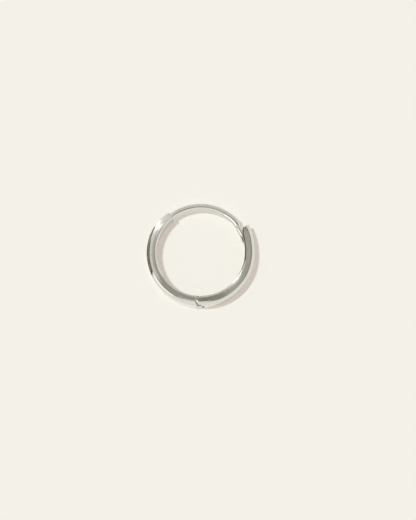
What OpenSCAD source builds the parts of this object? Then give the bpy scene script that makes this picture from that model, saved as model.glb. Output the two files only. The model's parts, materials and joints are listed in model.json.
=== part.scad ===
// Hinged huggie hoop earring, lying on its side as it rests on a table.
// The hoop's axis is Z, the hinge is at -Y and the ear post crosses the top, at +Y.
// Angles are counter-clockwise from +X, about the centre of the hoop.

/* [Hoop] */
// Outside diameter of the hoop
hoop_d = 13.0; // [12.5:0.1:13.5]
// Width of the band, along the axis of the hoop
band_w = 2.4; // [2.2:0.1:3]
// Thickness of the band, across the hoop
band_t = 1.2; // [1.15:0.05:1.5]
// How far the rounded outer shoulder comes in from the outer wall
shoulder_in = 0.33; // [0.2:0.01:0.4]
// How far the rounded outer shoulder comes down from the side face
shoulder_down = 0.28; // [0.2:0.01:0.4]
// Bevel between the inner wall and the side face
inner_bevel = 0.17; // [0.1:0.01:0.2]

/* [Front half] */
// Angle of the square end that carries the ear post
front_end_a = 128; // [120:1:135]
// Angle where the outer wall starts to taper down to the post
taper_from_a = 164; // [155:1:170]
// Radius of the tapered outer wall
taper_r = 5.45; // [5.2:0.05:5.8]

/* [Ear post] */
// Diameter of the post's wire
post_d = 0.9; // [0.8:0.05:0.9]
// How far the wire stands off the inner wall of the band
post_inset = 0.03; // [0.02:0.01:0.05]
// Angle of the post's round tip, inside the catch
post_tip_a = 12.5; // [11:0.5:14]
// Angle of the snap groove, just outside the catch
groove_a = 37; // [36:0.5:38]
// Length of the snap groove along the wire
groove_l = 0.3; // [0.2:0.05:0.4]
// Depth of the snap groove
groove_t = 0.08; // [0.04:0.01:0.12]

/* [Back half and catch] */
// Angle where the back half starts to flare out towards the catch
flare_from_a = -5; // [-15:1:0]
// Outside radius of the flared stretch
flare_r = 8.3; // [7.5:0.1:9]
// Sweep of the flared stretch about its own centre
flare_sweep = 28; // [26:0.5:29]
// Clearance around the post in the catch
catch_gap = 0.05; // [0.04:0.01:0.08]
// Depth of the cut across the inner corner of the catch
mouth_cut = 0.38; // [0.2:0.01:0.4]
// Slope of that cut against the band
mouth_slope = 25; // [15:1:30]

/* [Hinge] */
// Diameter of the hinge pin
pin_d = 0.5; // [0.4:0.05:0.5]
// How far each end of the pin lies below the side face
pin_sunk = 0.03; // [0.02:0.01:0.1]
// Width of the middle tongue on the front half
tongue_w = 0.9; // [0.8:0.05:0.9]
// Gap between the two halves at the hinge
hinge_gap = 0.04; // [0.03:0.01:0.05]
// How far the back half swings open
swing = 70; // [60:1:75]

/* [Hidden] */
$fn = 96;
silver = [0.8, 0.8, 0.78];

outer_r = hoop_d / 2;
inner_r = outer_r - band_t;
mid_r = outer_r - band_t / 2;
half_w = band_w / 2;
past = 1;                                   // how far a cutter runs past what it cuts
past_a = 10;                                // the same in degrees, along the hoop
// Points of the rounded shoulder, as shares of its fall inwards and of its drop
shoulder_curve = [[0, 1], [0.12, 0.66], [0.42, 0.32], [1, 0]];

hinge_a = 270;
knuckle_span = 9;                           // degrees of band kept past the pin's centre
knuckle_r = band_t / 2 - 0.01;
socket_r = knuckle_r + hinge_gap;
slot_w = tongue_w + 2 * hinge_gap;
pin_fit = 0.01;                             // the pin turns with the back half
pin_run = 0.04;                             // and runs in the front half's tongue

post_r = post_d / 2;
post_mid_r = inner_r + post_inset + post_r;
post_root = 3;                              // degrees of wire soldered into the band
tip_step = 0.01;                            // the round tip starts with this small step
tip_back_a = asin(post_r / post_mid_r);     // angle taken up by the round tip
groove_half_a = groove_l / post_mid_r * 90 / PI;
catch_end_a = post_tip_a - 2.5;             // blind end of the catch's slot

flare_c = [
    (outer_r - flare_r) * cos(flare_from_a),
    (outer_r - flare_r) * sin(flare_from_a)
];
flare_end_a = flare_from_a + flare_sweep;
taper_step = 0.01;                          // the taper starts with a step too small to see
taper_c = [
    (outer_r - taper_step - taper_r) * cos(taper_from_a),
    (outer_r - taper_step - taper_r) * sin(taper_from_a)
];

// The hoop stands on one side face, with the middle of its outline over the origin.
right_x = flare_c[0] + flare_r;
top_y = post_mid_r + post_r;
hoop_at = [(outer_r - right_x) / 2, (outer_r - top_y) / 2, half_w];

// Cross-section of the band: radius along X, the hoop's axis along Y.
module band_section() {
    shoulder = [for (p = shoulder_curve)
        [outer_r - p[0] * shoulder_in, half_w - p[1] * shoulder_down]];
    bevel = [
        [inner_r + inner_bevel, half_w],
        [inner_r, half_w - inner_bevel]
    ];
    top = concat(shoulder, bevel);
    bottom = [for (i = [len(top) - 1:-1:0]) [top[i][0], -top[i][1]]];
    polygon(concat(top, bottom));
}

// Stretch of the round band between two angles.
module band_arc(from_a, to_a) {
    rotate([0, 0, from_a]) rotate_extrude(angle = to_a - from_a) band_section();
}

// What is cut off past the hinge pin to leave a round knuckle there.
// side is 1 for the end of the front half, -1 for the back half's.
module past_knuckle(side) {
    difference() {
        translate([side * band_t, -mid_r, 0])
            cube([2 * band_t, 2 * band_t, band_w + past], center = true);
        translate([0, -mid_r, 0])
            cylinder(h = band_w + 2 * past, r = knuckle_r, center = true);
    }
}

// Room that one half needs in the other: a socket about the pin, and the path of
// the band when it is swung open. side is 1 for room cut in the front half.
module hinge_room(side, w) {
    translate([0, -mid_r, 0]) {
        cylinder(h = w, r = socket_r, center = true);
        rotate([0, 0, -90 + side * (90 - swing)])
            translate([0, -socket_r, -w / 2]) cube([2 * band_t, 2 * socket_r, w]);
    }
}

// The two outer layers of the band, either side of the middle slot.
module side_layers(w) {
    for (s = [-1, 1])
        translate([0, 0, s * (w / 2 + band_w)]) children();
}

// Bore through the hinge for the pin.
module pin_bore(gap) {
    translate([0, -mid_r, 0])
        cylinder(h = band_w + past, r = pin_d / 2 + gap, center = true);
}

// Section carried along the post's own curve, between two angles.
module wire_arc(from_a, to_a) {
    rotate([0, 0, from_a]) rotate_extrude(angle = to_a - from_a)
        translate([post_mid_r, 0]) children();
}

// Ear post: round wire with a snap groove and a round tip.
module post() {
    tip_a = post_tip_a + tip_back_a;
    difference() {
        wire_arc(tip_a, front_end_a + post_root) circle(r = post_r);
        wire_arc(groove_a - groove_half_a, groove_a + groove_half_a)
            difference() {
                circle(r = post_r + groove_t);
                circle(r = post_r - groove_t);
            }
    }
    rotate([0, 0, tip_a]) translate([post_mid_r, 0, 0]) sphere(r = post_r - tip_step);
}

// What the taper takes off the outer wall, between the post and taper_from_a.
module taper_cut() {
    difference() {
        rotate([0, 0, front_end_a - past_a])
            rotate_extrude(angle = taper_from_a - front_end_a + past_a)
                translate([inner_r + band_t / 3, -half_w - past])
                    square([band_t, band_w + 2 * past]);
        translate([taper_c[0], taper_c[1], 0])
            cylinder(h = band_w + 4 * past, r = taper_r, center = true);
    }
}

// Front half: the long arc with the ear post soldered into its end.
module front_half() {
    color(silver) translate(hoop_at) {
        difference() {
            band_arc(front_end_a, hinge_a + knuckle_span);
            past_knuckle(1);
            side_layers(tongue_w) hinge_room(1, 2 * band_w);
            pin_bore(pin_run);
            taper_cut();
        }
        post();
    }
}

// Flared stretch of the back half, up to its square end.
module flare() {
    translate([flare_c[0], flare_c[1], 0]) rotate([0, 0, flare_from_a])
        rotate_extrude(angle = flare_sweep)
            translate([flare_r - outer_r, 0]) band_section();
}

// Slot of the catch, open inwards and at its end, as far as the groove.
module catch_slot() {
    depth = post_r + catch_gap;
    rotate([0, 0, catch_end_a]) rotate_extrude(angle = groove_a - catch_end_a)
        translate([post_mid_r - 2 * depth, -depth]) square([3 * depth, 2 * depth]);
}

// Cut across the inner corner of the catch, which leaves the post's tip in sight.
module mouth() {
    translate([flare_c[0], flare_c[1], 0]) rotate([0, 0, flare_end_a])
        translate([flare_r - band_t + mouth_cut, 0, 0])
            rotate([0, 0, -mouth_slope]) translate([-2 * band_t, -2 * band_t, -band_w])
                cube([2 * band_t, 3 * band_t, 2 * band_w]);
}

// Back half: the other arc, slotted for the tongue and for the post.
module back_half() {
    color(silver) translate(hoop_at) difference() {
        union() {
            band_arc(hinge_a - knuckle_span, 360 + flare_from_a);
            flare();
        }
        past_knuckle(-1);
        hinge_room(-1, slot_w);
        pin_bore(pin_fit);
        catch_slot();
        mouth();
    }
}

// Hinge pin, flush with the side faces.
module hinge_pin() {
    color(silver) translate(hoop_at) translate([0, -mid_r, 0])
        cylinder(h = band_w - 2 * pin_sunk, d = pin_d, center = true);
}

front_half();
back_half();
hinge_pin();
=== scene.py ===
"""Looks of a hinged huggie hoop earring that lies on its side.

Lengths are in millimetres about the centre of the hoop, with the hoop's axis along Z, and
are turned into metres in the frame when a mesh is made. Angles are in degrees,
counter-clockwise from +X.
"""
import json
import logging
import math
from dataclasses import dataclass
from enum import Enum

import bpy
import numpy as np
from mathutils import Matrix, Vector


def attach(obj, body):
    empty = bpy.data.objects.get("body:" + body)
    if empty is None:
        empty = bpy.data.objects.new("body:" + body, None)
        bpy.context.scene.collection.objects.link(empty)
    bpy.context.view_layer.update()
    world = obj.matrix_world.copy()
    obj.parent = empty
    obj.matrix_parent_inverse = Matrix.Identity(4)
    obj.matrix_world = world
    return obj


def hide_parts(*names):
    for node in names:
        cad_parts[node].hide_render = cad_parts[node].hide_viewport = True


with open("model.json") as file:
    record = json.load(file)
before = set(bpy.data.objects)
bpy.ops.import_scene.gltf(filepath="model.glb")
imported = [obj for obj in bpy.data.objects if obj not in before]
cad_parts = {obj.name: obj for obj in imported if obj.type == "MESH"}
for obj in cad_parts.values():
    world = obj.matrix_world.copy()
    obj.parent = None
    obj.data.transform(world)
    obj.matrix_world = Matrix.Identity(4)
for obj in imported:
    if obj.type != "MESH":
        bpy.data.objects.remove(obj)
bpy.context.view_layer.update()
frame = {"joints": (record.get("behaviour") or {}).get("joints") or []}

LOG = logging.getLogger("huggie")
MM = 0.001

Array = np.ndarray
Triple = tuple[float, float, float]
Colour = Triple
Span = tuple[float, float]
Socket = bpy.types.NodeSocket


class Slot(Enum):
    """Material slots of the record."""

    SILVER = "polished_silver"
    PIN = "pin_silver"


def rise(t: Array) -> Array:
    """Smooth step: 3t^2 - 2t^3 between 0 and 1, and level outside."""
    t = np.clip(t, 0.0, 1.0)
    return t * t * (3.0 - 2.0 * t)


@dataclass(frozen=True)
class Hoop:
    """Sizes that the two halves share.

    The band's section is worked out across the hoop as rho, the distance outwards from the
    band's middle line, and z, the height over the middle plane.
    """

    outer_r: float = 6.5
    band_t: float = 1.2
    band_w: float = 2.4
    hinge_a: float = 270.0
    top_a: float = 90.0
    front_end_a: float = 128.0
    flare_from_a: float = -5.0
    flare_to_a: float = 23.0
    flare_r: float = 8.3

    @property
    def half_t(self) -> float:
        """Half the band's thickness."""
        return self.band_t / 2

    @property
    def half_w(self) -> float:
        """Half the band's width."""
        return self.band_w / 2

    @property
    def mid_r(self) -> float:
        """Radius of the band's middle line."""
        return self.outer_r - self.half_t

    def centre(self) -> Array:
        """Centre of the hoop in the frame, one middle radius away from the hinge's axis.

        Returns:
            The centre in millimetres.
        """
        pin = np.array(frame["joints"][0]["pos_m"]) / MM
        turn = math.radians(self.hinge_a)
        return pin - self.mid_r * np.array([math.cos(turn), math.sin(turn), 0.0])

    def path(self, angle: Array, rho: Array) -> tuple[Array, Array]:
        """Point of the bar's plane, by its angle along the path and its distance off it.

        The path is a circle about the hoop's centre up to the flare, and from there a wider
        circle that leaves it without a kink: place = centre of turn + (its radius + rho) *
        (cos angle, sin angle).

        Args:
            angle: Path angles in degrees.
            rho: Distances outwards from the middle line.

        Returns:
            X and Y of each point.
        """
        from_a = math.radians(self.flare_from_a)
        flared = (angle > self.flare_from_a) & (angle < self.top_a)
        shift = np.where(flared, self.outer_r - self.flare_r, 0.0)
        turn_r = np.where(flared, self.flare_r - self.half_t, self.mid_r)
        a = np.radians(angle)
        x = shift * math.cos(from_a) + (turn_r + rho) * np.cos(a)
        y = shift * math.sin(from_a) + (turn_r + rho) * np.sin(a)
        return x, y


@dataclass(frozen=True)
class Rounding:
    """A corner worked out from how its surface tilts.

    The normal's angle t over the wall goes from the face's to 0. The radius of curvature is
    a small one, corner_r, plus a bell curve about the chamfer's angle, so the chamfer is
    nearly flat and its two edges are crisp. Steps inwards are radius * sin t, and downwards
    radius * cos t. inset is how far in from the wall the corner starts.
    """

    inset: float
    face_t: float
    chamfer_t: float
    spread: float
    corner_r: float
    columns: int
    samples: int = 721
    by_length: float = 0.5

    def curve(self) -> tuple[Array, Array]:
        """Follows the corner from the face down to the wall.

        Columns are spaced by length for the share by_length, and for the rest by how far
        the surface has turned, so that the tight bends get enough of them.

        Returns:
            Inset from the wall and drop from the face, by column.
        """
        t = np.radians(np.linspace(self.face_t, 0.0, self.samples))
        bell = np.exp(-(((t - math.radians(self.chamfer_t)) / math.radians(self.spread)) ** 2))
        step = t[0] / (len(t) - 1)
        plain = np.cumsum(np.sin(t)) * step * self.corner_r
        belled = np.cumsum(np.sin(t) * bell) * step
        height = (self.inset - plain[-1]) / belled[-1]
        radius = self.corner_r + height * bell
        along = np.concatenate([[0.0], np.cumsum(radius) * step])
        inwards = np.concatenate([[0.0], np.cumsum(radius * np.sin(t)) * step])
        down = np.concatenate([[0.0], np.cumsum(radius * np.cos(t)) * step])
        turned = np.linspace(0.0, 1.0, len(along))
        pace = self.by_length * along / along[-1] + (1.0 - self.by_length) * turned
        at = np.linspace(0.0, 1.0, self.columns + 1)
        return self.inset - np.interp(at, pace, inwards), np.interp(at, pace, down)


Edges = tuple[Rounding | None, Rounding | None]


@dataclass
class Band:
    """Section of the band as columns from the inner wall out to the outer wall.

    The side face is crowned: it tilts outwards a little at its inner edge and more at its
    outer one. The brim is a last narrow column of the face along the shoulder.
    """

    hoop: Hoop
    bevel_in: float = 0.21
    bevel_t: float = 58.0
    shoulder_in: float = 0.33
    shoulder_t: float = 55.0
    face_tilt_in: float = 3.0
    face_tilt_out: float = 13.0
    face_columns: int = 9
    brim: float = 0.07

    def __post_init__(self) -> None:
        """Works out the two corners of the section."""
        self.inner = Rounding(
            inset=self.bevel_in,
            face_t=90.0 + self.face_tilt_in,
            chamfer_t=self.bevel_t,
            spread=9.0,
            corner_r=0.03,
            columns=8,
        )
        self.outer = Rounding(
            inset=self.shoulder_in,
            face_t=90.0 - self.face_tilt_out,
            chamfer_t=self.shoulder_t,
            spread=6.0,
            corner_r=0.06,
            columns=16,
        )
        self.in_inset, self.in_drop = self.inner.curve()
        self.out_inset, self.out_drop = self.outer.curve()

    @property
    def roof_column(self) -> int:
        """Column that the roof of the catch's slot follows."""
        return self.inner.columns + self.face_columns

    @property
    def plain_rho(self) -> Array:
        """Distance of each column off the middle line where the band has its full thickness."""
        return self.rho(np.array([-self.hoop.half_t]), np.array([self.hoop.half_t]))[0]

    def rho(self, low: Array, high: Array) -> Array:
        """Distance of each column off the middle line.

        Args:
            low: The inner wall's rho at each place along the bar.
            high: The outer wall's rho there.

        Returns:
            One row per place, one column per line of the section.
        """
        low, high = low[..., None], high[..., None]
        bevel = low + self.in_inset[::-1]
        crease = high - self.out_inset
        brim = crease[..., :1] - self.brim
        share = np.linspace(0.0, 1.0, self.face_columns + 1)[1:]
        face = bevel[..., -1:] + share * (brim - bevel[..., -1:])
        return np.concatenate([bevel, face, crease], axis=-1)

    def top(self) -> Array:
        """Height of each column on the side face.

        The face falls outwards on a parabola, by x tan(inner tilt) and half the growth of
        the slope times x squared.

        Returns:
            Heights over the middle plane.
        """
        wide = self.hoop.band_t - self.bevel_in - self.shoulder_in
        slope_in = math.tan(math.radians(self.face_tilt_in))
        slope_out = math.tan(math.radians(self.face_tilt_out))
        share = np.linspace(0.0, 1.0, self.face_columns + 1)[1:] * (wide - self.brim)
        across = np.concatenate([[0.0], share, [wide]])
        fall = slope_in * across + (slope_out - slope_in) * across**2 / (2 * wide)
        face = self.hoop.half_w - fall
        bevel = face[0] - self.in_drop[::-1]
        return np.concatenate([bevel, face[1:-1], face[-1] - self.out_drop])


@dataclass
class Lattice:
    """A curved block of cells, of which some are solid.

    places has one point per node (along, up, across, xyz), solid one flag per cell, and each
    mark one value or vector per node. The skin is every cell wall with metal on one side
    only, so a step or a slot is a run of cells left out.
    """

    places: Array
    solid: Array
    marks: dict[str, Array]

    def skin(self) -> tuple[Array, Array]:
        """Quads round the solid cells.

        A wall between cells i-1 and i of an axis takes the four nodes at i, turned to face
        away from the solid one.

        Returns:
            Indices of the nodes used, and quads that count in those.
        """
        ids = np.arange(self.places[..., 0].size).reshape(self.places.shape[:3])
        quads = []
        for axis in range(3):
            cells = np.moveaxis(self.solid, axis, 0)
            nodes = np.moveaxis(ids, axis, 0)
            empty = np.zeros((1,) + cells.shape[1:], bool)
            padded = np.concatenate([empty, cells, empty]).astype(int)
            change = np.diff(padded, axis=0)
            corner = [nodes[:, :-1, :-1], nodes[:, 1:, :-1], nodes[:, 1:, 1:], nodes[:, :-1, 1:]]
            walls = np.stack(corner, axis=-1)
            if axis == 1:  # moving the middle axis to the front turns the corners' order round
                walls = walls[..., ::-1]
            quads.append(walls[change < 0])
            quads.append(walls[change > 0][:, ::-1])
        faces = np.concatenate(quads)
        used, packed = np.unique(faces, return_inverse=True)
        return used, packed.reshape(faces.shape)


@dataclass
class Shell:
    """A closed mesh in millimetres about the hoop's centre, with marks for its finish.

    along is each point's unrolled place, and wear how worn the metal is there, from 0 to 1.
    """

    points: Array
    faces: list[Array]
    along: Array
    wear: Array

    @staticmethod
    def from_lattice(lattice: Lattice) -> "Shell":
        """Takes the skin of a lattice and turns it to face outwards.

        Args:
            lattice: Block of cells with the marks along and wear.

        Returns:
            A closed shell.
        """
        used, quads = lattice.skin()
        points = lattice.places.reshape(-1, 3)[used]
        along = lattice.marks["along"].reshape(-1, 3)[used]
        wear = lattice.marks["wear"].reshape(-1)[used]
        return Shell(points, [quads], along, wear).outwards()

    @staticmethod
    def from_rings(rings: Array, along: Array, wear: Array) -> "Shell":
        """Joins closed rings into a tube whose first and last ring close on their middle.

        Args:
            rings: Points by ring and place round it.
            along: Unrolled place of each point.
            wear: Wear of each ring.

        Returns:
            A closed shell.
        """
        count, around = rings.shape[:2]
        ids = np.arange(count * around).reshape(count, around)
        after = np.roll(ids, -1, axis=1)
        quads = np.stack([ids[:-1], after[:-1], after[1:], ids[1:]], axis=-1).reshape(-1, 4)
        first, last = count * around, count * around + 1
        cap_a = np.stack([after[0], ids[0], np.full(around, first)], axis=-1)
        cap_b = np.stack([ids[-1], after[-1], np.full(around, last)], axis=-1)
        middles = rings[[0, -1]].mean(axis=1)
        points = np.concatenate([rings.reshape(-1, 3), middles])
        line = np.concatenate([along.reshape(-1, 3), along[[0, -1]].mean(axis=1)])
        worn = np.concatenate([np.repeat(wear, around), wear[[0, -1]]])
        return Shell(points, [quads, cap_a, cap_b], line, worn).outwards()

    def volume(self) -> float:
        """Volume inside: a sixth of the sum of triple products over a fan of each face.

        Returns:
            Cubic millimetres, negative where the faces point inwards.
        """
        total = 0.0
        for faces in self.faces:
            for k in range(1, faces.shape[1] - 1):
                a, b, c = (self.points[faces[:, i]] for i in (0, k, k + 1))
                total += float(np.einsum("ij,ij->i", a, np.cross(b, c)).sum()) / 6.0
        return total

    def outwards(self) -> "Shell":
        """Turns the faces outwards where the volume says that they point inwards.

        Returns:
            The same shell.
        """
        if self.volume() < 0.0:
            self.faces = [faces[:, ::-1] for faces in self.faces]
        return self


@dataclass
class Piece:
    """One object made of one or more closed shells, which stands for a node of the frame."""

    name: str
    body: str
    nodes: tuple[str, ...]
    slot: Slot
    shells: list[Shell]
    hoop: Hoop
    sharp_from: float = 34.0

    def build(self, finish: bpy.types.Material) -> bpy.types.Object:
        """Makes the object in metres in the frame and dresses it.

        Args:
            finish: Material of the whole piece.

        Returns:
            The object, riding on its body.
        """
        starts = np.cumsum([0] + [len(s.points) for s in self.shells[:-1]])
        points = np.concatenate([s.points for s in self.shells])
        places = (points + self.hoop.centre()) * MM
        faces: list[list[int]] = []
        for start, shell in zip(starts, self.shells):
            for block in shell.faces:
                faces.extend((block + start).tolist())
        mesh = bpy.data.meshes.new(self.name)
        mesh.from_pydata(places.tolist(), [], faces)
        mesh.polygons.foreach_set("use_smooth", np.ones(len(faces), bool))
        self.mark(mesh, "along", "FLOAT_VECTOR", np.concatenate([s.along for s in self.shells]))
        self.mark(mesh, "wear", "FLOAT", np.concatenate([s.wear for s in self.shells]))
        mesh.set_sharp_from_angle(angle=math.radians(self.sharp_from))
        mesh.materials.append(finish)
        mesh.update()
        thing = bpy.data.objects.new(self.name, mesh)
        bpy.context.scene.collection.objects.link(thing)
        even = thing.modifiers.new("even_normals", "WEIGHTED_NORMAL")
        even.keep_sharp = True
        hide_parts(*self.nodes)
        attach(thing, self.body)
        LOG.info("%s: %d points, %d faces", self.name, len(points), len(faces))
        return thing

    @staticmethod
    def mark(mesh: bpy.types.Mesh, name: str, kind: str, values: Array) -> None:
        """Writes a point attribute that the finish reads.

        Args:
            mesh: Mesh to write to.
            name: The attribute's name.
            kind: Blender's name for its type.
            values: One value or vector per point.
        """
        layer = mesh.attributes.new(name, kind, "POINT")
        entry = "vector" if kind == "FLOAT_VECTOR" else "value"
        layer.data.foreach_set(entry, values.astype(np.float32).ravel())


@dataclass
class HalfHoop:
    """What the front and the back half have in common: the hinge's curves and worn ends.

    Up the band, the cells are in three layers. The middle one is as wide as the hinge's
    tongue or slot, and layer_lines gives its lines as shares of half that width. The two
    side layers reach from there to the side faces. The first column of a worn edge lies
    edge_room times the edge's inset from the end.
    """

    hoop: Hoop
    band: Band
    knuckle_r: float = 0.59
    gap: float = 0.04
    swing: float = 70.0
    tongue_w: float = 0.9
    layer_lines: tuple[float, ...] = (-1.0, -0.34, 0.34, 1.0)
    side_cells: int = 4
    edge_room: float = 1.2
    worn: Rounding = Rounding(
        inset=0.05, face_t=90.0, chamfer_t=45.0, spread=40.0, corner_r=0.02, columns=5
    )
    ear_worn: Rounding = Rounding(
        inset=0.24, face_t=90.0, chamfer_t=68.0, spread=5.0, corner_r=0.04, columns=10
    )

    @property
    def socket_r(self) -> float:
        """Radius of the socket that a knuckle turns in."""
        return self.knuckle_r + self.gap

    def knuckle(self, rho: Array) -> Array:
        """How far the round knuckle reaches past the pin: an ellipse across the band."""
        share = np.clip(rho / self.hoop.half_t, -1.0, 1.0)
        return self.knuckle_r * np.sqrt(1.0 - share**2)

    def socket(self, rho: Array) -> Array:
        """How far the socket reaches past the pin, and outside it the relief for the swing.

        The socket is a circle about the pin. Where the relief is the deeper, its side is the
        line that touches the circle square to the direction in which the band swings out.

        Args:
            rho: Distances off the middle line.

        Returns:
            Distances past the pin.
        """
        lean = math.radians(90.0 - self.swing)
        circle = np.sqrt(self.socket_r**2 - np.clip(rho, -self.socket_r, self.socket_r) ** 2)
        touch = self.socket_r * math.sin(lean)
        line = self.socket_r * math.cos(lean) - (rho - touch) * math.tan(lean)
        return np.where(rho > touch, line, circle)

    def degrees(self, reach: Array, rho: Array) -> Array:
        """Turns a distance past the pin, along X, into an angle along the hoop."""
        return np.degrees(np.arcsin(reach / (self.hoop.mid_r + rho)))

    def edge(self, rounding: Rounding | None) -> tuple[Array, Array]:
        """Columns of a worn edge: how far each lies from the end, and how far it is sunk.

        Args:
            rounding: Shape of the edge, or None for a plain end.

        Returns:
            Distances from the end, the end last, and the sinkage at each.
        """
        if rounding is None:
            return np.zeros(1), np.zeros(1)
        off, sunk = rounding.curve()
        off = np.concatenate([[rounding.inset * self.edge_room], off])
        return off, np.concatenate([[0.0], sunk])

    def run(
        self, start: Array, end: Array, cells: int, edges: Edges = (None, None)
    ) -> tuple[Array, Array]:
        """Columns of a stretch of the bar between two curves across it.

        Between the worn edges the columns share the stretch evenly.

        Args:
            start: Angle where the stretch starts, by column of the section.
            end: Angle where it ends.
            cells: Plain cells between the worn edges.
            edges: Worn edges at the start and at the end.

        Returns:
            Angles by place and column, and how far each place is sunk.
        """
        off_in, sunk_in = self.edge(edges[0])
        off_out, sunk_out = self.edge(edges[1])
        first = np.degrees(off_in / self.hoop.mid_r)[::-1]
        last = np.degrees(off_out / self.hoop.mid_r)
        share = np.linspace(0.0, 1.0, cells + 1)[1:-1]
        shares = np.concatenate([np.zeros(len(first)), share, np.ones(len(last))])
        between = first[-1] + share * (-last[0] - first[-1])
        offsets = np.concatenate([first, between, -last])
        depth = np.concatenate([sunk_in[::-1], np.zeros(len(share)), sunk_out])
        angles = start + shares[:, None] * (end - start) + offsets[:, None]
        return angles, depth

    def lines(self, width: float) -> Array:
        """Heights of the middle layer's lines, for a tongue or slot of this width."""
        return np.array(self.layer_lines) * width / 2

    def metal(self, angles: Array) -> Array:
        """Flags of the bar's cells by place, height and column, all of them solid."""
        up = len(self.layer_lines) - 1 + 2 * self.side_cells
        return np.ones((len(angles) - 1, up, angles.shape[1] - 1), bool)

    def block(
        self, angles: Array, low: Array, high: Array, width: float, sunk: Array, solid: Array
    ) -> Shell:
        """Makes the bar's lattice and takes its skin.

        Up from the middle layer, heights go evenly to the side face.

        Args:
            angles: Path angle by place along and column across.
            low: The inner wall's rho by place.
            high: The outer wall's rho by place.
            width: Width of the middle layer.
            sunk: How far each place is sunk below the plain section.
            solid: Flag of each cell.

        Returns:
            The closed shell.
        """
        lines = self.lines(width)
        rho = self.band.rho(low + sunk, high - sunk)
        crown = self.band.top()[None, :] - sunk[:, None]
        step = np.linspace(0.0, 1.0, self.side_cells + 1)[1:]
        edge = lines[-1]
        over = edge + step[None, :, None] * (crown[:, None, :] - edge)
        middle = np.broadcast_to(lines[None, :, None], (len(angles), len(lines), rho.shape[1]))
        z = np.concatenate([-over[:, ::-1], middle, over], axis=1)
        shape = z.shape
        wide = np.broadcast_to(rho[:, None, :], shape)
        turned = np.broadcast_to(angles[:, None, :], shape)
        x, y = self.hoop.path(turned, wide)
        along = np.stack([np.radians(turned) * self.hoop.mid_r, wide, z], axis=-1)
        wear = np.broadcast_to(rise(sunk / self.worn.inset)[:, None, None], shape)
        marks = {"along": along, "wear": wear}
        return Shell.from_lattice(Lattice(np.stack([x, y, z], axis=-1), solid, marks))


@dataclass
class EarPost:
    """Round wire across the top, with a solder collar, a snap groove and a slimmer tip.

    inset is how far the wire stands off the band's inner wall, and root_a where it ends
    inside the band. The last sizes count the rings of each stretch.
    """

    hoop: Hoop
    wire_r: float = 0.45
    inset: float = 0.03
    root_a: float = 136.0
    collar_r: float = 0.06
    collar_l: float = 0.22
    slim_from_a: float = 43.0
    slim_to_a: float = 34.0
    slim_r: float = 0.36
    slim_in: float = 0.21
    groove_a: float = 36.6
    groove_l: float = 0.4
    groove_t: float = 0.1
    groove_wear: float = 0.4
    tip_a: float = 12.5
    around: int = 48
    root_rings: int = 8
    collar_rings: int = 9
    wire_rings: int = 98
    groove_rings: int = 17
    slim_rings: int = 22
    tip_rings: int = 14

    @property
    def mid_r(self) -> float:
        """Radius of the wire's middle line, just outside the band's inner wall."""
        return self.hoop.outer_r - self.hoop.band_t + self.inset + self.wire_r

    @property
    def per_mm(self) -> float:
        """Degrees along the hoop for each millimetre of wire."""
        return math.degrees(1.0 / self.mid_r)

    def stations(self) -> tuple[Array, Array]:
        """Angle of each ring from the root to the tip, and how far round the tip it is.

        Returns:
            Ring angles, and the sine that the round tip's rings follow, 0 before it.
        """
        end_a = self.hoop.front_end_a
        tip_from = self.tip_a + self.slim_r * self.per_mm
        half = self.groove_l / 2 * self.per_mm
        root = np.linspace(self.root_a, end_a, self.root_rings + 1)[:-1]
        collar = end_a - np.linspace(0.0, self.collar_l, self.collar_rings) * self.per_mm
        groove = self.groove_a + np.linspace(half, -half, self.groove_rings)
        wire = np.linspace(collar[-1], groove[0], self.wire_rings + 2)[1:-1]
        slim = np.linspace(groove[-1], tip_from, self.slim_rings + 2)[1:-1]
        turn = np.radians(np.linspace(0.0, 90.0, self.tip_rings + 1)[:-1])
        tip = tip_from - self.slim_r * np.sin(turn) * self.per_mm
        angle = np.concatenate([root, collar, wire, groove, slim, tip])
        sine = np.concatenate([np.zeros(len(angle) - len(turn)), np.sin(turn)])
        return angle, sine

    def shell(self) -> Shell:
        """Carries a circle along the wire: centre + radius * (outwards cos t, up sin t).

        Towards the tip a smooth step slims the wire and brings it in. The groove is a raised
        cosine, the tip a half sphere, and the collar a quarter circle that swells the wire
        against the band, but not on its outer side: swell * (1 - cos t) / 2.

        Returns:
            The closed wire.
        """
        angle, sine = self.stations()
        end_a = self.hoop.front_end_a
        slim = rise((self.slim_from_a - angle) / (self.slim_from_a - self.slim_to_a))
        near = np.clip((angle - self.groove_a) / (self.groove_l / 2 * self.per_mm), -1.0, 1.0)
        dip = self.groove_t * (1.0 + np.cos(np.pi * near)) / 2
        radius = self.wire_r + slim * (self.slim_r - self.wire_r) - dip
        radius = radius * np.sqrt(1.0 - sine**2)
        centre = self.mid_r - slim * self.slim_in
        away = np.clip((end_a - angle) / self.per_mm / self.collar_l, 0.0, 1.0)
        swell = self.collar_r * (1.0 - np.sqrt(1.0 - (1.0 - away) ** 2))
        swell = np.where(angle > end_a, 0.0, swell)
        a = np.radians(angle)[:, None]
        t = np.linspace(0.0, 2 * np.pi, self.around, endpoint=False)[None, :]
        round_r = radius[:, None] + swell[:, None] * (1.0 - np.cos(t)) / 2
        off = round_r * np.cos(t)
        out = centre[:, None] + off
        z = round_r * np.sin(t)
        rings = np.stack([out * np.cos(a), out * np.sin(a), z], axis=-1)
        along = np.stack([np.broadcast_to(a * self.mid_r, z.shape), off, z], axis=-1)
        return Shell.from_rings(rings, along, dip / self.groove_t * self.groove_wear)


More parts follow.
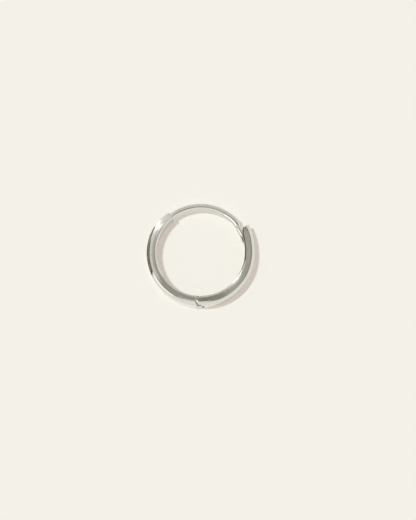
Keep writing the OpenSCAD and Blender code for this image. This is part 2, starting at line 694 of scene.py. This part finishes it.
@dataclass
class FrontHalf(HalfHoop):
    """The long arc with the ear post soldered into its end and the hinge's middle tongue."""

    taper_from_a: float = 164.0
    taper_r: float = 5.35
    cells: int = 110
    tongue_cells: int = 8

    def outer(self, angle: Array) -> Array:
        """Rho of the outer wall, which tapers on a tighter circle towards the post.

        On the taper the wall lies where a ray at this angle meets the circle of radius
        taper_r whose centre lies on the ray at taper_from_a: c cos d + sqrt(r^2 - c^2 sin^2 d).

        Args:
            angle: Angles along the hoop.

        Returns:
            The wall's rho at each.
        """
        off = self.hoop.outer_r - self.taper_r
        turn = np.radians(np.minimum(angle, self.taper_from_a) - self.taper_from_a)
        reach = off * np.cos(turn) + np.sqrt(self.taper_r**2 - (off * np.sin(turn)) ** 2)
        return reach - self.hoop.mid_r

    def shell(self) -> Shell:
        """Makes the bar between its square end and the hinge, with a tongue past the socket.

        Returns:
            The closed bar.
        """
        rho = self.band.plain_rho
        start = np.full_like(rho, self.hoop.front_end_a)
        socket = self.hoop.hinge_a - self.degrees(self.socket(rho), rho)
        knuckle = self.hoop.hinge_a + self.degrees(self.knuckle(rho), rho)
        body, sunk = self.run(start, socket, self.cells, (self.worn, self.worn))
        tongue, _ = self.run(socket, knuckle, self.tongue_cells)
        angles = np.concatenate([body, tongue[1:]])
        sunk = np.concatenate([sunk, np.zeros(len(tongue) - 1)])
        low = np.full(len(angles), -self.hoop.half_t)
        high = self.outer(angles[:, len(rho) // 2])
        solid = self.metal(angles)
        past_socket = slice(len(body) - 1, None)
        solid[past_socket, :self.side_cells] = False
        solid[past_socket, -self.side_cells:] = False
        return self.block(angles, low, high, self.tongue_w, sunk, solid)

    def piece(self, post: EarPost) -> Piece:
        """The front half with its post."""
        shells = [self.shell(), post.shell()]
        return Piece("front_half_silver", "front", ("front_half",), Slot.SILVER, shells, self.hoop)


@dataclass
class BackHalf(HalfHoop):
    """The other arc, with the hinge's two ears and the flared catch for the post."""

    catch_from_a: float = 6.5
    mouth_in: float = 0.38
    mouth_l: float = 0.82
    lip_a: float = 0.5
    ear_cells: int = 10
    cells: int = 80
    catch_cells: int = 32

    def inner(self, angle: Array) -> Array:
        """Rho of the inner wall, which a straight cut brings back towards the catch's end."""
        way = np.radians(self.hoop.flare_to_a - angle) * (self.hoop.flare_r - self.hoop.half_t)
        return -self.hoop.half_t + self.mouth_in * np.clip(1.0 - way / self.mouth_l, 0.0, 1.0)

    def shell(self) -> Shell:
        """Makes the bar between its ears and its end, slotted for the tongue and the post.

        Returns:
            The closed bar.
        """
        rho = self.band.plain_rho
        hinge_a = self.hoop.hinge_a - 360.0
        ears = hinge_a - self.degrees(self.knuckle(rho), rho)
        socket = hinge_a + self.degrees(self.socket(rho), rho)
        catch = np.full_like(rho, self.catch_from_a)
        end = self.hoop.flare_to_a + self.lip_a * rise(rho / self.hoop.half_t)
        fork, sunk_a = self.run(ears, socket, self.ear_cells, (self.ear_worn, None))
        body, sunk_b = self.run(socket, catch, self.cells)
        slot, sunk_c = self.run(catch, end, self.catch_cells, (None, self.worn))
        angles = np.concatenate([fork, body[1:], slot[1:]])
        sunk = np.concatenate([sunk_a, sunk_b[1:], sunk_c[1:]])
        low = self.inner(angles[:, 0])
        high = np.full(len(angles), self.hoop.half_t)
        solid = self.metal(angles)
        middle = slice(self.side_cells, -self.side_cells)
        in_fork = slice(None, len(fork) - 1)
        in_catch = slice(len(fork) + len(body) - 2, None)
        solid[in_fork, middle] = False
        solid[in_catch, middle, :self.band.roof_column] = False
        width = self.tongue_w + 2 * self.gap
        return self.block(angles, low, high, width, sunk, solid)

    def piece(self) -> Piece:
        """The back half."""
        shells = [self.shell()]
        return Piece("back_half_silver", "back", ("back_half",), Slot.SILVER, shells, self.hoop)


@dataclass
class HingePin:
    """Round pin through the hinge, with polished ends.

    end_rings are the rings across each end, as shares of the pin's radius.
    """

    hoop: Hoop
    band: Band
    pin_r: float = 0.25
    rim: float = 0.004
    proud: float = 0.003
    rim_wear: float = 0.5
    around: int = 48
    rim_rings: int = 6
    end_rings: tuple[float, ...] = (0.3, 0.6, 0.8)

    def shell(self) -> Shell:
        """Closes the pin with ends that are polished down with the side faces.

        Each end's height is the face's height at that place plus a hair, less a quarter
        circle's fall at its rim: face(rho) + proud - fall(radius).

        Returns:
            The closed pin.
        """
        turn = np.radians(np.linspace(90.0, 0.0, self.rim_rings))
        rim_r = self.pin_r - self.rim + self.rim * np.cos(turn)
        radius = np.concatenate([np.array(self.end_rings) * self.pin_r, rim_r])
        fall = np.concatenate([np.zeros(len(self.end_rings)), self.rim * (1.0 - np.sin(turn))])
        radius = np.concatenate([radius, radius[::-1]])
        sign = np.repeat([1.0, -1.0], len(fall))[:, None]
        fall = np.concatenate([fall, fall[::-1]])[:, None]
        t = np.linspace(0.0, 2 * np.pi, self.around, endpoint=False)[None, :]
        x = radius[:, None] * np.cos(t)
        off = radius[:, None] * np.sin(t)
        face = np.interp(-off, self.band.plain_rho, self.band.top())
        z = sign * (face + self.proud - fall)
        rings = np.stack([x, off - self.hoop.mid_r, z], axis=-1)
        along = np.stack([z, x, off], axis=-1)
        wear = np.where(radius > self.pin_r - self.rim, self.rim_wear, 0.0)
        return Shell.from_rings(rings, along, wear)

    def piece(self) -> Piece:
        """The pin."""
        shells = [self.shell()]
        return Piece("hinge_pin_silver", "back", ("hinge_pin",), Slot.PIN, shells, self.hoop)


class Graph:
    """Adds shader nodes to a tree and links them in one call each."""

    def __init__(self, tree: bpy.types.NodeTree) -> None:
        """Starts from an empty tree."""
        self.tree = tree
        tree.nodes.clear()

    def add(self, kind: str, inputs: dict | None = None, **settings: object) -> bpy.types.Node:
        """Adds a node.

        Args:
            kind: Blender's name for the node.
            inputs: Values or sockets by the name or number of the input.
            settings: Attributes of the node.

        Returns:
            The node.
        """
        node = self.tree.nodes.new(kind)
        for name, value in settings.items():
            setattr(node, name, value)
        for name, value in (inputs or {}).items():
            if isinstance(value, Socket):
                self.tree.links.new(value, node.inputs[name])
            else:
                node.inputs[name].default_value = value
        return node

    def math(self, operation: str, *values: object) -> Socket:
        """Adds a Math node and returns its output."""
        return self.add("ShaderNodeMath", dict(enumerate(values)), operation=operation).outputs[0]

    def fade(self, value: Socket, start: float, end: float) -> Socket:
        """Adds a smooth step of a value.

        Args:
            value: What is stepped.
            start: Value that gives 0.
            end: Value that gives 1.

        Returns:
            The step, from 0 to 1.
        """
        inputs = {"Value": value, "From Min": start, "From Max": end}
        node = self.add("ShaderNodeMapRange", inputs, interpolation_type="SMOOTHSTEP")
        return node.outputs["Result"]

    def within(self, value: Socket, low: float, high: float, soft: float) -> Socket:
        """Marks where a value lies between two bounds.

        Args:
            value: What is tested.
            low: Lower bound.
            high: Upper bound.
            soft: Width of the fade outside each bound.

        Returns:
            1 between the bounds, falling to 0 outside them.
        """
        up = self.fade(value, low - soft, low)
        down = self.fade(value, high + soft, high)
        return self.math("MULTIPLY", up, down)

    def bump(self, height: Socket, distance: float, normal: Socket | None = None) -> Socket:
        """Adds a relief.

        Args:
            height: The relief's height, from 0 to 1.
            distance: Metres that a height of 1 stands for.
            normal: Normal that the relief goes on, or None for the mesh's own.

        Returns:
            The new normal.
        """
        inputs = {"Height": height, "Strength": 1.0, "Distance": distance}
        if normal is not None:
            inputs["Normal"] = normal
        return self.add("ShaderNodeBump", inputs).outputs[0]

    def lerp(self, factor: object, first: object, second: object) -> Socket:
        """Mixes two numbers."""
        return self.add("ShaderNodeMix", {0: factor, 2: first, 3: second}).outputs[0]

    def blend(self, factor: object, first: object, second: object) -> Socket:
        """Mixes two colours."""
        inputs = {0: factor, 6: first, 7: second}
        return self.add("ShaderNodeMix", inputs, data_type="RGBA").outputs[2]


@dataclass(frozen=True)
class Grain:
    """Noise on the unrolled surface: its stretch along, across and up, and its cells per mm."""

    stretch: Triple
    per_mm: float
    octaves: float

    def on(self, graph: Graph, along: Socket) -> Socket:
        """Adds the noise.

        Args:
            graph: Tree to add to.
            along: Unrolled place in millimetres.

        Returns:
            The noise, from 0 to 1.
        """
        placed = graph.add("ShaderNodeMapping", {"Vector": along, "Scale": self.stretch})
        inputs = {"Vector": placed.outputs[0], "Scale": self.per_mm, "Detail": self.octaves}
        return graph.add("ShaderNodeTexNoise", inputs).outputs[0]


@dataclass(frozen=True)
class SilverFinish:
    """Polished silver: soft hand-polishing waves, fine scratches along the band, worn edges."""

    name: str
    colour: Colour = (0.79, 0.79, 0.775)
    dulled: Colour = (0.64, 0.64, 0.61)
    roughness: float = 0.07
    wear_roughness: float = 0.2
    waves: Grain = Grain((1.0, 1.6, 1.6), 1.0 / 0.9, 2.0)
    ripple: Grain = Grain((0.3, 1.0, 1.0), 5.0, 2.0)
    ripple_share: float = 1.6
    wave_height: float = 0.0022
    scratches: Grain = Grain((0.08, 1.0, 1.0), 26.0, 4.0)
    scratches_between: Span = (0.5, 0.75)
    scratch_roughness: float = 0.05
    hairlines: Grain = Grain((0.3, 1.0, 1.0), 60.0, 2.0)
    hairline_share: float = 0.4
    scratch_height: float = 0.00035
    cloud: Grain = Grain((1.0, 1.0, 1.0), 2.2, 3.0)
    smudge_between: Span = (0.35, 0.75)
    smudge_dulls: float = 0.25
    smudge_roughness: float = 0.05
    streaks: Grain = Grain((0.07, 1.0, 1.0), 10.0, 3.0)
    streaks_between: Span = (0.42, 0.66)
    wall_streaks: float = 0.22
    face_streaks: float = 0.62
    face_from_mm: Span = (0.95, 1.1)

    def material(self) -> bpy.types.Material:
        """Builds the material. Patterns follow the unrolled place that each mesh carries.

        Returns:
            The material.
        """
        finish = bpy.data.materials.new(self.name)
        finish.use_nodes = True
        graph = Graph(finish.node_tree)
        along = graph.add("ShaderNodeAttribute", attribute_name="along").outputs["Vector"]
        smudge = graph.fade(self.cloud.on(graph, along), *self.smudge_between)
        scratches = self.scratches.on(graph, along)
        inputs = {
            "Base Color": self.tone(graph, along, smudge),
            "Metallic": 1.0,
            "Roughness": self.dullness(graph, smudge, scratches),
            "Normal": self.relief(graph, along, scratches),
        }
        shader = graph.add("ShaderNodeBsdfPrincipled", inputs)
        graph.add("ShaderNodeOutputMaterial", {"Surface": shader.outputs[0]})
        return finish

    def tone(self, graph: Graph, along: Socket, smudge: Socket) -> Socket:
        """Colour, dulled in smudges and in streaks, which are stronger on the side faces.

        Args:
            graph: Tree to add to.
            along: Unrolled place in millimetres.
            smudge: Where the metal is smudged.

        Returns:
            The colour.
        """
        up = graph.add("ShaderNodeSeparateXYZ", {"Vector": along}).outputs["Z"]
        on_face = graph.fade(graph.math("ABSOLUTE", up), *self.face_from_mm)
        more = self.face_streaks - self.wall_streaks
        depth = graph.math("MULTIPLY_ADD", on_face, more, self.wall_streaks)
        streaks = graph.fade(self.streaks.on(graph, along), *self.streaks_between)
        streaked = graph.math("MULTIPLY", streaks, depth)
        dull = graph.math("MULTIPLY_ADD", smudge, self.smudge_dulls, streaked)
        return graph.blend(dull, (*self.colour, 1.0), (*self.dulled, 1.0))

    def dullness(self, graph: Graph, smudge: Socket, scratches: Socket) -> Socket:
        """Roughness, raised in smudges, on scratches and on worn edges.

        Args:
            graph: Tree to add to.
            smudge: Where the metal is smudged.
            scratches: Noise of the scratches.

        Returns:
            The roughness.
        """
        wear = graph.add("ShaderNodeAttribute", attribute_name="wear").outputs["Fac"]
        scratched = graph.fade(scratches, *self.scratches_between)
        rough = graph.math("MULTIPLY_ADD", smudge, self.smudge_roughness, self.roughness)
        rough = graph.math("MULTIPLY_ADD", scratched, self.scratch_roughness, rough)
        return graph.math("MULTIPLY_ADD", wear, self.wear_roughness - self.roughness, rough)

    def relief(self, graph: Graph, along: Socket, scratches: Socket) -> Socket:
        """Broad polishing waves, with scratches and hairlines over them.

        Args:
            graph: Tree to add to.
            along: Unrolled place in millimetres.
            scratches: Noise of the scratches.

        Returns:
            The normal.
        """
        waves = self.waves.on(graph, along)
        ripple = self.ripple.on(graph, along)
        heights = graph.math("MULTIPLY_ADD", ripple, self.ripple_share, waves)
        broad = graph.bump(heights, self.wave_height * MM)
        hairlines = graph.math("MULTIPLY", self.hairlines.on(graph, along), self.hairline_share)
        lines = graph.math("ADD", scratches, hairlines)
        return graph.bump(lines, self.scratch_height * MM, broad)


def towards(bearing: float, height: float) -> Vector:
    """Unit vector towards a bearing and a height over the horizon."""
    b, h = math.radians(bearing), math.radians(height)
    return Vector((math.cos(b) * math.cos(h), math.sin(b) * math.cos(h), math.sin(h)))


@dataclass(frozen=True)
class Floor:
    """Pale paper under the hoop, wide enough to fill the picture."""

    half: float = 400.0
    cells: int = 2
    colour: Colour = (0.90, 0.88, 0.84)
    glow: Colour = (0.385, 0.334, 0.278)
    roughness: float = 0.9
    grain_per_m: float = 900.0
    grain_octaves: float = 3.0
    grain_darkens: float = 0.985

    def paper(self) -> bpy.types.Material:
        """Makes the paper, which has a faint grain and a little light of its own.

        Returns:
            The material.
        """
        finish = bpy.data.materials.new("floor_paper")
        finish.use_nodes = True
        graph = Graph(finish.node_tree)
        place = graph.add("ShaderNodeTexCoord").outputs["Object"]
        noise = {"Vector": place, "Scale": self.grain_per_m, "Detail": self.grain_octaves}
        grain = graph.add("ShaderNodeTexNoise", noise).outputs[0]
        darker = tuple(self.grain_darkens * c for c in self.colour)
        colour = graph.blend(grain, (*self.colour, 1.0), (*darker, 1.0))
        inputs = {"Base Color": colour, "Roughness": self.roughness, "Specular IOR Level": 0.0}
        inputs |= {"Emission Color": (*self.glow, 1.0), "Emission Strength": 1.0}
        shader = graph.add("ShaderNodeBsdfPrincipled", inputs)
        graph.add("ShaderNodeOutputMaterial", {"Surface": shader.outputs[0]})
        return finish

    def build(self) -> None:
        """Lays the floor: points (x, y, 0) on a square grid of a few cells."""
        line = np.linspace(-self.half, self.half, self.cells + 1)
        x, y = np.meshgrid(line, line, indexing="ij")
        points = np.stack([x, y, np.zeros_like(x)], axis=-1).reshape(-1, 3) * MM
        ids = np.arange(x.size).reshape(x.shape)
        corner = [ids[:-1, :-1], ids[1:, :-1], ids[1:, 1:], ids[:-1, 1:]]
        quads = np.stack(corner, axis=-1).reshape(-1, 4)
        mesh = bpy.data.meshes.new("floor")
        mesh.from_pydata(points.tolist(), [], quads.tolist())
        mesh.materials.append(self.paper())
        thing = bpy.data.objects.new("floor", mesh)
        bpy.context.scene.collection.objects.link(thing)


@dataclass(frozen=True)
class KeyLight:
    """A sun with the breadth of a small softbox."""

    colour: Colour = (0.90, 1.0, 0.961)
    strength: float = 1.30
    bearing: float = 174.0
    height: float = 73.0
    breadth: float = 6.0

    def build(self) -> None:
        """Hangs the light, which the metal doesn't mirror: the dome has cards for that."""
        lamp = bpy.data.lights.new("key", "SUN")
        lamp.energy = self.strength
        lamp.color = self.colour
        lamp.angle = math.radians(self.breadth)
        thing = bpy.data.objects.new("key", lamp)
        back = towards(self.bearing, self.height)
        thing.rotation_euler = back.to_track_quat("Z", "Y").to_euler()
        thing.visible_glossy = False
        bpy.context.scene.collection.objects.link(thing)


@dataclass(frozen=True)
class Patch:
    """A card of the studio that the metal mirrors.

    Bearings are about the dome's axis, and polar angles are down from it, all in degrees.
    soft is the fade past the card's sides and past its ends. A leaning card's bearing
    changes by lean degrees for each degree down.
    """

    bearing: float
    half_width: float
    polar: Span
    soft: Span
    light: float
    lean: float = 0.0
    mottle: float = 0.0


@dataclass(frozen=True)
class Dome:
    """The world: a plain backdrop, an even ambient light, and what the metal mirrors.

    The dome leans back by as much as the camera leans forward, so its axis is what a level
    face mirrors. Down from the axis come the zenith, the overhead ring and the walls, with
    the cards over them, and later cards over earlier ones.
    """

    lean: float
    backdrop: Colour = (0.904, 0.880, 0.806)
    ambient: Colour = (0.222, 0.227, 0.262)
    zenith: float = 0.47
    overhead: float = 0.46
    overhead_from: Span = (6.0, 12.0)
    walls: float = 0.92
    walls_from: Span = (26.0, 38.0)
    warmth: Colour = (0.0, -0.016, -0.068)
    spots_per_degree: Span = (0.4, 0.05)
    spot_octaves: float = 2.0
    spots_between: Span = (0.38, 0.62)
    patches: tuple[Patch, ...] = (
        Patch(235.0, 34.0, (0.0, 30.0), (16.0, 4.0), 0.38),
        Patch(279.0, 12.0, (9.5, 24.0), (3.0, 3.0), 0.21),
        Patch(289.0, 6.0, (7.0, 26.0), (13.0, 4.0), 0.30),
        Patch(262.0, 16.0, (24.0, 40.0), (6.0, 2.0), 0.86),
        Patch(180.0, 24.0, (21.0, 45.0), (14.0, 8.0), 0.73),
        Patch(135.0, 17.0, (11.0, 26.0), (14.0, 9.0), 0.67),
        Patch(138.0, 18.0, (23.0, 45.0), (10.0, 5.0), 0.85),
        Patch(80.0, 34.0, (8.0, 110.0), (14.0, 6.0), 0.67),
        Patch(150.0, 14.0, (60.0, 96.0), (2.0, 6.0), 0.30),
        Patch(180.0, 17.0, (29.0, 96.0), (1.5, 2.0), 0.19, mottle=0.6),
        Patch(356.0, 22.0, (27.0, 45.0), (8.0, 3.0), 0.24),
        Patch(137.0, 6.0, (3.0, 9.0), (5.0, 4.0), 0.48),
        Patch(320.0, 7.0, (4.0, 11.0), (7.0, 4.0), 0.57),
        Patch(320.0, 4.5, (3.0, 8.5), (4.0, 4.5), 1.75),
        Patch(140.0, 8.0, (49.0, 60.0), (3.0, 3.0), 2.2),
        Patch(217.0, 17.0, (38.0, 62.0), (4.0, 4.0), 1.6),
        Patch(144.8, 2.8, (15.0, 30.0), (3.6, 7.0), 1.5, lean=-0.05),
        Patch(148.7, 3.2, (30.0, 104.0), (3.4, 3.0), 1.7, lean=-0.19),
    )

    def directions(self, graph: Graph) -> tuple[Socket, Socket]:
        """Direction of each ray about the dome's axis.

        Args:
            graph: Tree to add to.

        Returns:
            Polar angle and bearing in degrees.
        """
        look = graph.add("ShaderNodeTexCoord").outputs["Generated"]
        turn = {"Vector": look, "Angle": math.radians(self.lean)}
        hung = graph.add("ShaderNodeVectorRotate", turn, rotation_type="X_AXIS").outputs[0]
        axes = graph.add("ShaderNodeSeparateXYZ", {"Vector": hung}).outputs
        cosine = graph.math("MAXIMUM", graph.math("MINIMUM", axes["Z"], 1.0), -1.0)
        polar = graph.math("ARCCOSINE", cosine)
        bearing = graph.math("ARCTAN2", axes["Y"], axes["X"])
        per_radian = math.degrees(1.0)
        return graph.math("MULTIPLY", polar, per_radian), graph.math("MULTIPLY", bearing, per_radian)

    def spots(self, graph: Graph, polar: Socket, bearing: Socket) -> Socket:
        """Mottling of the cards.

        Args:
            graph: Tree to add to.
            polar: Polar angle in degrees.
            bearing: Bearing in degrees.

        Returns:
            Spots from -1 to 1.
        """
        across, down = self.spots_per_degree
        spread = {0: graph.math("MULTIPLY", bearing, across), 1: graph.math("MULTIPLY", polar, down)}
        unrolled = graph.add("ShaderNodeCombineXYZ", spread).outputs[0]
        noise = {"Vector": unrolled, "Scale": 1.0, "Detail": self.spot_octaves}
        grain = graph.add("ShaderNodeTexNoise", noise).outputs[0]
        return graph.math("MULTIPLY_ADD", graph.fade(grain, *self.spots_between), 2.0, -1.0)

    def mirrored(self, graph: Graph) -> Socket:
        """Light that the metal mirrors, by direction.

        Args:
            graph: Tree to add to.

        Returns:
            The colour.
        """
        polar, bearing = self.directions(graph)
        spots = self.spots(graph, polar, bearing)
        tone = graph.lerp(graph.fade(polar, *self.overhead_from), self.zenith, self.overhead)
        tone = graph.lerp(graph.fade(polar, *self.walls_from), tone, self.walls)
        for patch in self.patches:
            middle = graph.math("MULTIPLY_ADD", polar, patch.lean, patch.bearing)
            apart = graph.math("WRAP", graph.math("SUBTRACT", bearing, middle), 180.0, -180.0)
            apart = graph.math("ABSOLUTE", apart)
            across = graph.fade(apart, patch.half_width + patch.soft[0], patch.half_width)
            down = graph.within(polar, *patch.polar, patch.soft[1])
            light = graph.math("MULTIPLY_ADD", spots, patch.light * patch.mottle, patch.light)
            tone = graph.lerp(graph.math("MULTIPLY", across, down), tone, light)
        tinted = {i: graph.math("ADD", tone, shift) for i, shift in enumerate(self.warmth)}
        return graph.add("ShaderNodeCombineColor", tinted).outputs[0]

    def build(self) -> None:
        """Makes the world. Metal mirrors the cards only in rays that paper hasn't scattered."""
        world = bpy.data.worlds.new("studio")
        bpy.context.scene.world = world
        world.use_nodes = True
        graph = Graph(world.node_tree)
        tone = self.mirrored(graph)
        path = graph.add("ShaderNodeLightPath").outputs
        unscattered = graph.math("LESS_THAN", path["Diffuse Depth"], 0.5)
        from_metal = graph.math("MULTIPLY", path["Is Glossy Ray"], unscattered)
        lit = graph.blend(from_metal, (*self.ambient, 1.0), tone)
        seen = graph.blend(path["Is Camera Ray"], lit, (*self.backdrop, 1.0))
        shade = graph.add("ShaderNodeBackground", {"Color": seen, "Strength": 1.0})
        graph.add("ShaderNodeOutputWorld", {"Surface": shade.outputs[0]})


@dataclass(frozen=True)
class Camera:
    """Camera of the photo, in front of the hoop and nearly over it.

    px is the size of a pixel at the hoop in millimetres, and ring_px the pixel that the
    hoop's middle falls on.
    """

    lens: float = 100.0
    sensor: float = 36.0
    bearing: float = -90.0
    height: float = 79.0
    px: float = 0.1208
    ring_px: Span = (200.6, 253.9)
    picture_px: Span = (416.0, 520.0)
    near_share: float = 0.02
    far_m: float = 10.0

    def build(self, hoop: Hoop) -> None:
        """Sets the camera up and aims it.

        Args:
            hoop: The hoop whose middle it is aimed by.
        """
        data = bpy.data.cameras.new("camera")
        data.lens = self.lens
        data.sensor_width = self.sensor
        distance = self.px * self.picture_px[1] * self.lens / self.sensor
        back = towards(self.bearing, self.height)
        right = Vector((1.0, 0.0, 0.0))
        up = back.cross(right)
        off_x = (self.picture_px[0] / 2 - self.ring_px[0]) * self.px
        off_y = (self.ring_px[1] - self.picture_px[1] / 2) * self.px
        aim = Vector(hoop.centre()) + right * off_x + up * off_y
        thing = bpy.data.objects.new("camera", data)
        thing.location = (aim + back * distance) * MM
        thing.rotation_euler = back.to_track_quat("Z", "Y").to_euler()
        data.clip_start = distance * MM * self.near_share
        data.clip_end = self.far_m
        bpy.context.scene.collection.objects.link(thing)
        bpy.context.scene.camera = thing


@dataclass(frozen=True)
class Studio:
    """Pale floor, one small key light, soft dome and the camera."""

    hoop: Hoop
    floor: Floor = Floor()
    key: KeyLight = KeyLight()
    camera: Camera = Camera()

    def build(self) -> None:
        """Sets the whole studio up."""
        bpy.context.scene.view_settings.view_transform = "Standard"
        self.floor.build()
        self.key.build()
        Dome(lean=90.0 - self.camera.height).build()
        self.camera.build(self.hoop)


def main() -> None:
    """Builds and dresses the earring, then the studio around it."""
    logging.basicConfig(level=logging.INFO, format="%(message)s")
    hoop = Hoop()
    band = Band(hoop)
    silver = SilverFinish("polished_silver_finish").material()
    pin_silver = SilverFinish("pin_silver_finish", roughness=0.09).material()
    FrontHalf(hoop, band).piece(EarPost(hoop)).build(silver)
    BackHalf(hoop, band).piece().build(silver)
    HingePin(hoop, band).piece().build(pin_silver)
    Studio(hoop).build()


if __name__ == "__main__":
    main()
